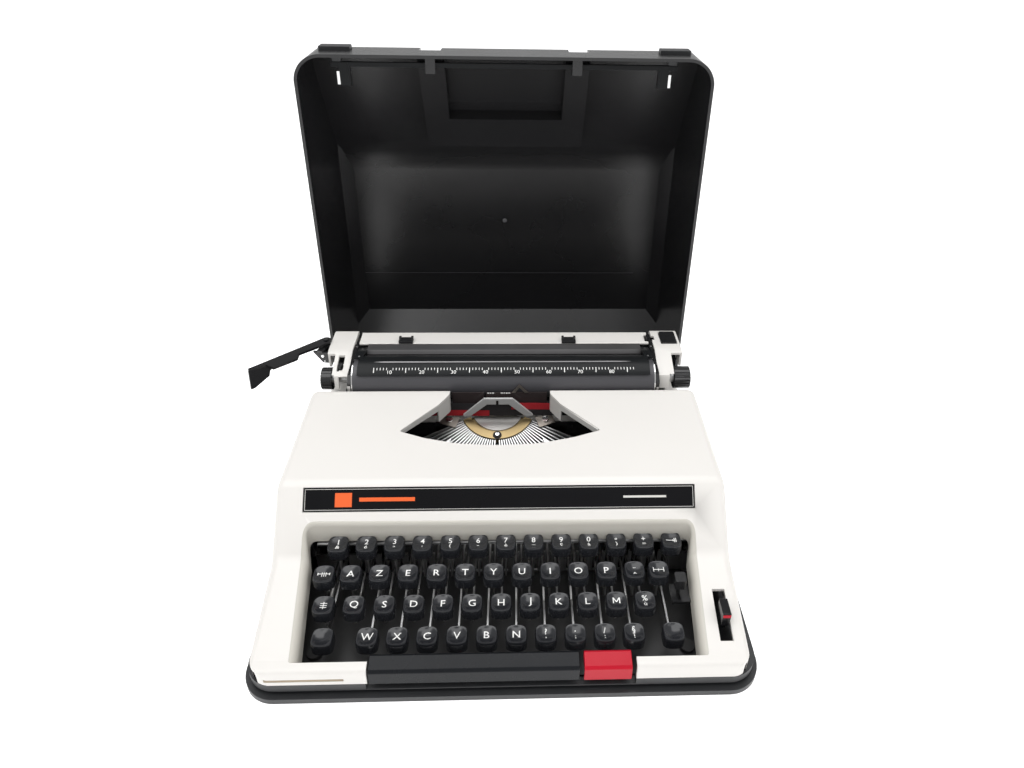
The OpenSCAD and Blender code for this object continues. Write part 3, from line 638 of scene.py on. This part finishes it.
STROKES = {"M": [(-2.1, -2.1, -2.1, 2.1), (-2.1, 2.1, 0, -0.9), (0, -0.9, 2.1, 2.1), (2.1, 2.1, 2.1, -2.1)]}
SIGNS = {
    "=margin": [(-4.2, 4.2, -0.25, 0.25), (-1.6, -1.1, -1.6, 1.6), (1.1, 1.6, -1.6, 1.6),
                (-0.25, 0.25, -1.6, 1.6),
                (-4.2, -3.5, -0.9, 0.9), (3.5, 4.2, -0.9, 0.9)],
    "=lock": [(-2.2, 2.2, -0.25, 0.25), (-2.2, 2.2, 1.3, 1.8), (-2.2, 2.2, -1.8, -1.3),
              (-0.25, 0.25, -2.6, 2.6)],
    "=tab": [(-3.6, 2.0, -0.25, 0.25), (3.0, 3.5, -1.8, 1.8), (2.0, 2.5, -1.8, 1.8), (1.0, 1.6, -0.8, 0.8)],
    "=set": [(-3.4, 3.4, -0.25, 0.25), (-3.7, -3.2, -1.8, 1.8), (3.2, 3.7, -1.8, 1.8),
             (-0.25, 0.25, -1.0, 1.0)],
    "=slash": [(-0.3, 0.3, -0.9, 0.9)],
}
SHAFT_Y, SHAFT_Z = 12, 21
ROWS = [(-79.3, 53.1), (-97.1, 44.9), (-114.9, 36.7), (-132.7, 28.5)]


def add_lever(bm, x, y, top, dropped=0.0, mat=1):
    zl = 19 - dropped
    zc = top - 9.5
    pts = [(14.5, 19), (15.5, 21), (14.5, 23.5), (0, 23.5), (-12, zl + 4), (y + 2.2, zl + 4),
           (y + 1.8, zc + 3),
           (y - 1.8, zc + 3), (y - 2.2, zl + 1), (y - 1.2, zl), (-12, zl), (-2, 19)]
    add_prism_x(bm, pts, x - 0.6, x + 0.6, mat)
    # plastic foot under the cap
    add_loft(bm, [[(x + sx * a, y + sy * b, z) for sx, sy in ((-1, -1), (1, -1), (1, 1), (-1, 1))]
                  for z, a, b in ((zc - 3.2, 1.6, 2.4), (zc - 0.2, 2.6, 3.4), (zc + 0.6, 4.6, 4.4))], mat=0)


def key_group(name, body, keys, cad, dropped=0.0):
    """keys: (x, row, marks), marks being (text, size, shift towards the rear)."""
    bm = bmesh.new()
    for x, row, marks in keys:
        y, top = ROWS[row]
        add_cap(bm, x, y, top)
        add_lever(bm, x, y, top, dropped)
        for body_text, size, dy in marks:
            key_mark(bm, x, y, top, body_text, size, dy)
    ob = mesh_object(name, bm, ["key", "steel", "white"])
    smooth_by_angle(ob, 38)
    stands_for(ob, body, "key_black", cad)
    return ob


def one(ch):
    return [(ch, 6.7, 0.3)]


def two(a, b):
    return [(a, 5.2, 1.9), (b, 4.4, -2.4)]


R1 = [two(a, b) for a, b in (("1", "&"), ("2", "é"), ("3", '"'), ("4", "'"), ("5", "("), ("6", "-"),
                             ("7", "è"),
                             ("8", "_"), ("9", "ç"), ("0", "à"), ("°", ")"), ("+", "="))]
R2 = [one(c) for c in "AZERTYUIOP"] + [two("¨", "^")]
R3 = [one(c) for c in "SDFGHJKLM"]
R4 = [one(c) for c in "WXCVBN"] + [two("?", ","), two(".", ";"), two("/", ":"), two("§", "!")]
P = 19.05
key_group("bank_1", "key_row_1", [(-113.8 + P * i, 0, R1[i]) for i in range(12)], "key_row_1")
key_group("bank_2", "key_row_2", [(-102.9 + P * i, 1, R2[i]) for i in range(11)], "key_row_2")
bank_3 = [(-98.4, 2, one("Q"))] + [(-78.6 + P * i, 2, R3[i]) for i in range(9) if i != 4]
bank_3.append((-78.6 + P * 9, 2, two("%", "ù")))
key_group("bank_3", "key_row_3", bank_3, "key_row_3")
key_group("bank_3_middle", "type_key", [(-78.6 + P * 4, 2, one("H"))], "type_key")
key_group("bank_4", "key_row_4", [(-87.7 + P * i, 3, R4[i]) for i in range(10)], "key_row_4", 5.5)
key_group("shift_pair", "shift_keys", [(-116, 3, []), (109.5, 3, [])], "shift_keys", 5.5)
key_group("shift_lock", "shift_lock_key", [(-118.1, 2, [("=lock", 1, 0)])], "shift_lock_key")
key_group("margin_release", "margin_release_key", [(-120.5, 1, [("=margin", 1, 0)])], "margin_release_key")
key_group("tabulator", "tabulator_key", [(115, 0, [("=tab", 1, 0)])], "tabulator_key")
key_group("tab_set", "tab_set_key", [(104, 1, [("=set", 1, 0)])], "tab_set_key")

# ------------------------------------------------------------------ carriage details


def lay(name, body, slot_name, material, build, *cad, place=None, smooth=True):
    """One detail piece: build(bm) draws it in millimetres, place turns it into position."""
    bm = bmesh.new()
    build(bm)
    if place is not None:
        bmesh.ops.transform(bm, matrix=place, verts=bm.verts)
    ob = mesh_object(name, bm, material if isinstance(material, list) else [material], smooth=smooth)
    if smooth:
        smooth_by_angle(ob, 35)
    stands_for(ob, body, slot_name, *cad)
    return ob


def add_disc(bm, x, y, z, r, h, axis="z", n=20, mat=0):
    """Short round head with a rounded rim, standing on (x, y, z)."""
    prof = [(0.0, r), (h * 0.6, r), (h * 0.88, r * 0.9), (h, r * 0.66)]
    rings = []
    for d, rr in prof:
        ring = []
        for k in range(n):
            c, q = rr * math.cos(2 * math.pi * k / n), rr * math.sin(2 * math.pi * k / n)
            ring.append({"z": (x + c, y + q, z + d), "y": (x + c, y - d, z + q),
                         "x": (x + d, y + c, z + q)}[axis])
        rings.append(ring)
    add_loft(bm, rings, mat=mat)


PLATEN_Y, PLATEN_Z, BAIL_R = 60.0, 88.0, 18.4
UNIT = 2.54
MID_X, MID_N = -4.1, 45
TICK_TOP = math.radians(27.1)


def on_bail(x, back, lift=0.16):
    """Point on the bail's skin; back is the distance along it from the tops of the marks."""
    t = TICK_TOP + back / BAIL_R
    rr = BAIL_R + lift
    return (x, PLATEN_Y - rr * math.sin(t), PLATEN_Z + rr * math.cos(t))


def bail_scale(bm):
    for n in range(5, 88):
        x = MID_X + (n - MID_N) * UNIT
        if n % 10 == 0:
            continue
        length = 4.2 if n % 10 == 5 else 2.0
        half = 0.34 if n % 10 == 5 else 0.26
        steps = 4
        for k in range(steps):
            a, b = length * k / steps, length * (k + 1) / steps
            vs = [bm.verts.new(v) for v in (on_bail(x - half, a), on_bail(x + half, a), on_bail(x + half, b),
                                            on_bail(x - half, b))]
            bm.faces.new(vs)
    for n in range(10, 90, 10):
        x = MID_X + (n - MID_N) * UNIT
        verts, faces = text_faces(str(n), 4.0, 1.1)
        add_mark(bm, verts, faces, lambda vx, vy: on_bail(x + vx, 3.6 - vy), 0)


lay("bail_scale", "paper_bail", "black_paint", "white", bail_scale, smooth=False)
# ridge on the black bail in lighter gunmetal: painted highlight along the rib
lay("bail_rib_painted_highlight", "paper_bail", "black_paint", "gunmetal",
    lambda bm: add_loft(bm, [[(x, 57.3 - w, 106.1), (x, 57.3 + w, 106.1), (x, 57.3, 106.15 + h)]
                             for x, w, h in ((-106, 0.1, 0.1), (-98, 0.7, 0.55), (92, 0.7, 0.55),
                                             (101, 0.1, 0.1))]))


def bail_arms(bm):
    prof = [(63, 106.0), (70, 106.4), (84, 101.8), (86, 99.4), (84, 99.0), (70, 105.0), (63, 105.2)]
    for x0, x1 in ((-123.0, -116.0), (113.0, 119.6)):
        add_prism_x(bm, prof, x0, x1)


lay("bail_arms", "paper_bail", "black_paint", "bail", bail_arms)
lay("bail_screws", "paper_bail", "black_paint", "steel", lambda bm: [
    add_disc(bm, x, y, z, 0.85, 0.5) for x in (-119.6, 116.4) for y, z in ((65.5, 105.9), (80.5, 102.7))])
lay("end_screws", "carriage", "steel", "steel", lambda bm: [
    add_disc(bm, x, 86, 101.0, 1.0, 0.7) for x in (-125.6, 122.5)])
lay("platen_rings", "platen_roll", "steel", "bright", lambda bm: [
    add_tube_x(bm, x0, x1, PLATEN_Y, PLATEN_Z, r, 40,
               steps=[(x0, r - 0.4), (x0 + 0.15, r), (x1 - 0.15, r), (x1, r - 0.4)])
    for x0, x1, r in ((-124.0, -122.9, 16.15), (119.7, 120.9, 16.15))])
lay("end_bits", "carriage", "steel", "bright", lambda bm: [
    add_box(bm, (-127.0, 43.9, 80), (-124.6, 44.6, 92)), add_box(bm, (121.6, 43.9, 80), (123.6, 44.6, 90))])


def lever_mount(bm):
    add_loft(bm, [[(-160.5, y, 101.0), (-147.2, y, 100.0), (-147.2, y, 89.6),
                   (-153.5, y, 90.4)] for y in (79.0, 81.2)])


lay("lever_mount", "carriage", "moulded_black", "black", lever_mount)
lay("lever_mount_screws", "carriage", "steel", "bright", lambda bm: [
    add_disc(bm, -153.0, 79.0, 97.0, 1.5, 0.7, "y"), add_disc(bm, -151.8, 79.0, 92.0, 0.7, 0.5, "y")])
lay("release_face", "carriage_release", "plate_black", "bar",
    lambda bm: add_box(bm, (131.9, 85.15, 100.6), (144.1, 85.5, 104.6)))

# ------------------------------------------------------------------ type basket details

RING = (Matrix.Translation((-7.4, 51, 64.7)) @ Matrix.Rotation(math.radians(16.4), 4, "X"))


def slugs(bm):
    """Type slugs on the outer bars of both sides, staggered in rows."""
    for i in list(range(-15, -8)) + list(range(9, 16)):
        turn = Matrix.Rotation(math.radians(3.25 * i), 4, "Z")
        mark = len(bm.verts)
        start = -63.5 + (abs(i) - 9) * 0.9 + (4.6 if i % 2 else 0.0)
        add_box(bm, (-1.15, start, -0.6), (1.15, start + 3.4, 1.5))
        add_box(bm, (-0.7, start + 3.2, 0.2), (0.7, start + 4.4, 2.2))
        bm.verts.ensure_lookup_table()
        bmesh.ops.transform(bm, matrix=turn, verts=bm.verts[mark:])


lay("type_slugs", "machine", "steel", "steel", slugs, place=RING)
lay("segment_shadow", "machine", "bronze", "ink_black", lambda bm: [
    add_disc(bm, 0, -27.3, 0.02, 3.6, 0.1, n=28), add_disc(bm, 0, -27.3, 1.0, 2.5, 0.2, n=28)], place=RING)
lay("segment_screw", "machine", "steel", "bright", lambda bm: add_disc(bm, 0, -27.3, 1.15, 1.75, 0.8, n=24),
    place=RING)
lay("segment_screw_slot", "machine", "steel", "ink_black",
    lambda bm: add_disc(bm, 0, -27.3, 1.9, 0.55, 0.12, n=16), place=RING)
lay("half_disc", "machine", "steel", "dull_disc",
    lambda bm: add_loft(bm, [[(2.0 * math.cos(t) * 10.6, 2.0 * math.sin(t) * 10.6, z) for t in
                              [math.radians(204 + 132 * k / 24) for k in range(25)]] for z in (-2.55,
                                  -2.45)]), place=RING)
lay("plate_slots", "machine", "steel", "ink_black", lambda bm: [
    add_box(bm, (s * 39 - 2.0, -13.3, 1.95), (s * 39 + 2.0, -12.7, 2.1)) for s in (-1, 1)], place=RING)
def tape(bm):
    """Two-coloured tape: the red half runs low on the left and high on the right."""
    for x0, x1, split, red_low in ((-85.7, -14, 70.8, True), (4, 79.7, 71.2, False)):
        n = 12
        for lo, hi, red in ((65.0, split, red_low), (split, 77.6, not red_low)):
            rows = []
            for k in range(n + 1):
                x = x0 + (x1 - x0) * k / n
                sag = 0.25 * math.sin(x * 0.11)
                rows.append([(x, 39.38, lo + sag), (x, 39.62, lo + sag), (x, 39.62, hi + sag),
                             (x, 39.38, hi + sag)])
            add_loft(bm, rows, mat=1 if red else 0)
    for x in (-85.7, 79.4):
        add_box(bm, (x, 2, 65), (x + 0.3, 39.4, 71.2), mat=1)
        add_box(bm, (x, 2, 71.2), (x + 0.3, 39.4, 77.6), mat=0)
    add_box(bm, (-14, 39.4, 65.2), (4, 39.6, 77.0), mat=0)


lay("ribbon_tape", "machine", "ribbon_ink", ["ink_black", "ink_red"], tape, "ribbon", smooth=False)


def printing_marks(bm):
    for x0, x1 in ((-15.4, -13.9), (-13.4, -12.4), (-11.9, -10.0), (-4.6, -2.8), (-2.3, -1.2), (-0.7, 0.9),
                   (1.4, 3.0)):
        add_box(bm, (x0, 41.7, 85.7), (x1, 42.0, 86.6))


lay("mark_plate", "machine", "steel", "card", lambda bm: add_box(bm, (-16.5, 42.0, 66), (4.0, 42.25, 86.9)),
    smooth=False)
lay("pointer_wire", "machine", "steel", "taupe", lambda bm: [
    add_loft(bm, [[(x, y, z) for x, z in pts] for y in (41.9, 42.25)]) for pts in (
        [(4.1, 86.4), (7.1, 86.4), (10.4, 91.4), (10.3, 94.6)],
        [(10.3, 94.6), (10.4, 91.4), (14.7, 86.4), (17.7, 86.4)])],
    smooth=False)
lay("printing_marks", "machine", "steel", "white", printing_marks, smooth=False)

# rod behind the first bank of keys
lay("rear_rod", "machine", "steel", "steel", lambda bm: add_tube_x(bm, -131, 129, -69.2, 41.5, 1.9, 24))

# ------------------------------------------------------------------ lid and case details

LID = (Matrix.Translation((0, 154, 10)) @ Matrix.Rotation(math.radians(-92), 4, "X") @
       Matrix.Translation((0, -154, -10)))
lay("hook_tips", "latch", "steel", "bright", lambda bm: [
    add_box(bm, (x, -140.5, 33.4), (x + 2.2, -130.0, 37.6)) for x in (-138.4, 134.2)], place=LID)
lay("hook_plates", "latch", "lid_black", "bail", lambda bm: [
    add_loft(bm, [[(x0, -147.5, z), (x1, -147.5, z), (x1, -133, z), ((x0 + x1) / 2 + s, -128.6, z),
                   (x0, -133, z)]
                  for z in (33.6, 37.4)]) for x0, x1, s in ((-136.5, -129.0, -1.5), (127.0, 134.5, 1.5))],
                  place=LID)
lay("gate_mark", "lid", "lid_black", "dull", lambda bm: add_disc(bm, -3.3, 0, 0, 2.2, 0.25, "y"),
    place=Matrix.Translation((0, 255.6, 139.9)))
# thin lighter line across the lid: painted highlight along a panel edge
lay("lid_panel_painted_highlight", "lid", "lid_black", "rubber",
    lambda bm: add_box(bm, (-150, 255.2, 79.3), (133, 255.5, 79.6)))
lay("selector_mark", "color_selector", "key_red", "red",
    lambda bm: add_box(bm, (139.7, -133.25, 41.2), (144.8, -132.6, 43.6)))

# ------------------------------------------------------------------ camera, light, floor

CAM_AT = Vector((0.006069, -0.424905, 0.453012))
AZ, EL, ROLL = math.radians(2.60), math.radians(31.12), math.radians(1.34)
fwd = Vector((math.sin(AZ) * math.cos(EL), math.cos(AZ) * math.cos(EL), -math.sin(EL)))
right = Vector((math.cos(AZ), -math.sin(AZ), 0))
up = right.cross(fwd)
cam_x = right * math.cos(ROLL) + up * math.sin(ROLL)
cam_y = up * math.cos(ROLL) - right * math.sin(ROLL)
cam = bpy.data.objects.new("camera", bpy.data.cameras.new("camera"))
bpy.context.scene.collection.objects.link(cam)
cam.matrix_world = Matrix((
    (cam_x.x, cam_y.x, -fwd.x, CAM_AT.x), (cam_x.y, cam_y.y, -fwd.y, CAM_AT.y),
    (cam_x.z, cam_y.z, -fwd.z, CAM_AT.z), (0, 0, 0, 1)))
cam.data.sensor_width = 36
cam.data.lens = 25.695
cam.data.shift_x = -0.0297
cam.data.shift_y = -0.0791
cam.data.clip_start = 0.01
bpy.context.scene.camera = cam


def area(name, at, to, size, power):
    light = bpy.data.lights.new(name, "AREA")
    light.energy = power
    light.size = size
    ob = bpy.data.objects.new(name, light)
    ob.location = at
    ob.rotation_euler = (Vector(to) - Vector(at)).to_track_quat("-Z", "Y").to_euler()
    bpy.context.scene.collection.objects.link(ob)


area("key_light", (-0.9, -0.7, 1.6), (0, 0, 0.08), 1.0, 8.0)
area("fill_light", (1.1, -0.7, 1.3), (0, 0, 0.08), 1.0, 5.0)
area("top_light", (0, 0.1, 1.7), (0, 0, 0), 1.4, 17)

world = bpy.data.worlds.new("studio")
bpy.context.scene.world = world
world.use_nodes = True
world.node_tree.nodes["Background"].inputs["Color"].default_value = (1.0, 1.0, 1.0, 1)
world.node_tree.nodes["Background"].inputs["Strength"].default_value = 0.55

floor_mesh = bpy.data.meshes.new("floor")
floor_mesh.from_pydata([(-9, -9, 0), (9, -9, 0), (9, 9, 0), (-9, 9, 0)], [], [(0, 1, 2, 3)])
floor = bpy.data.objects.new("floor", floor_mesh)
bpy.context.scene.collection.objects.link(floor)
floor_mat = finish_of("floor", (0.97, 0.97, 0.97), 0.7, fleck=0.002, grain=300, bump=0.01)
floor_bsdf = floor_mat.node_tree.nodes["Principled BSDF"]
socket(floor_bsdf, "Emission Color", (1, 1, 1, 1))
socket(floor_bsdf, "Emission Strength", 0.55)
floor_mesh.materials.append(floor_mat)
bpy.context.scene.view_settings.view_transform = "Standard"
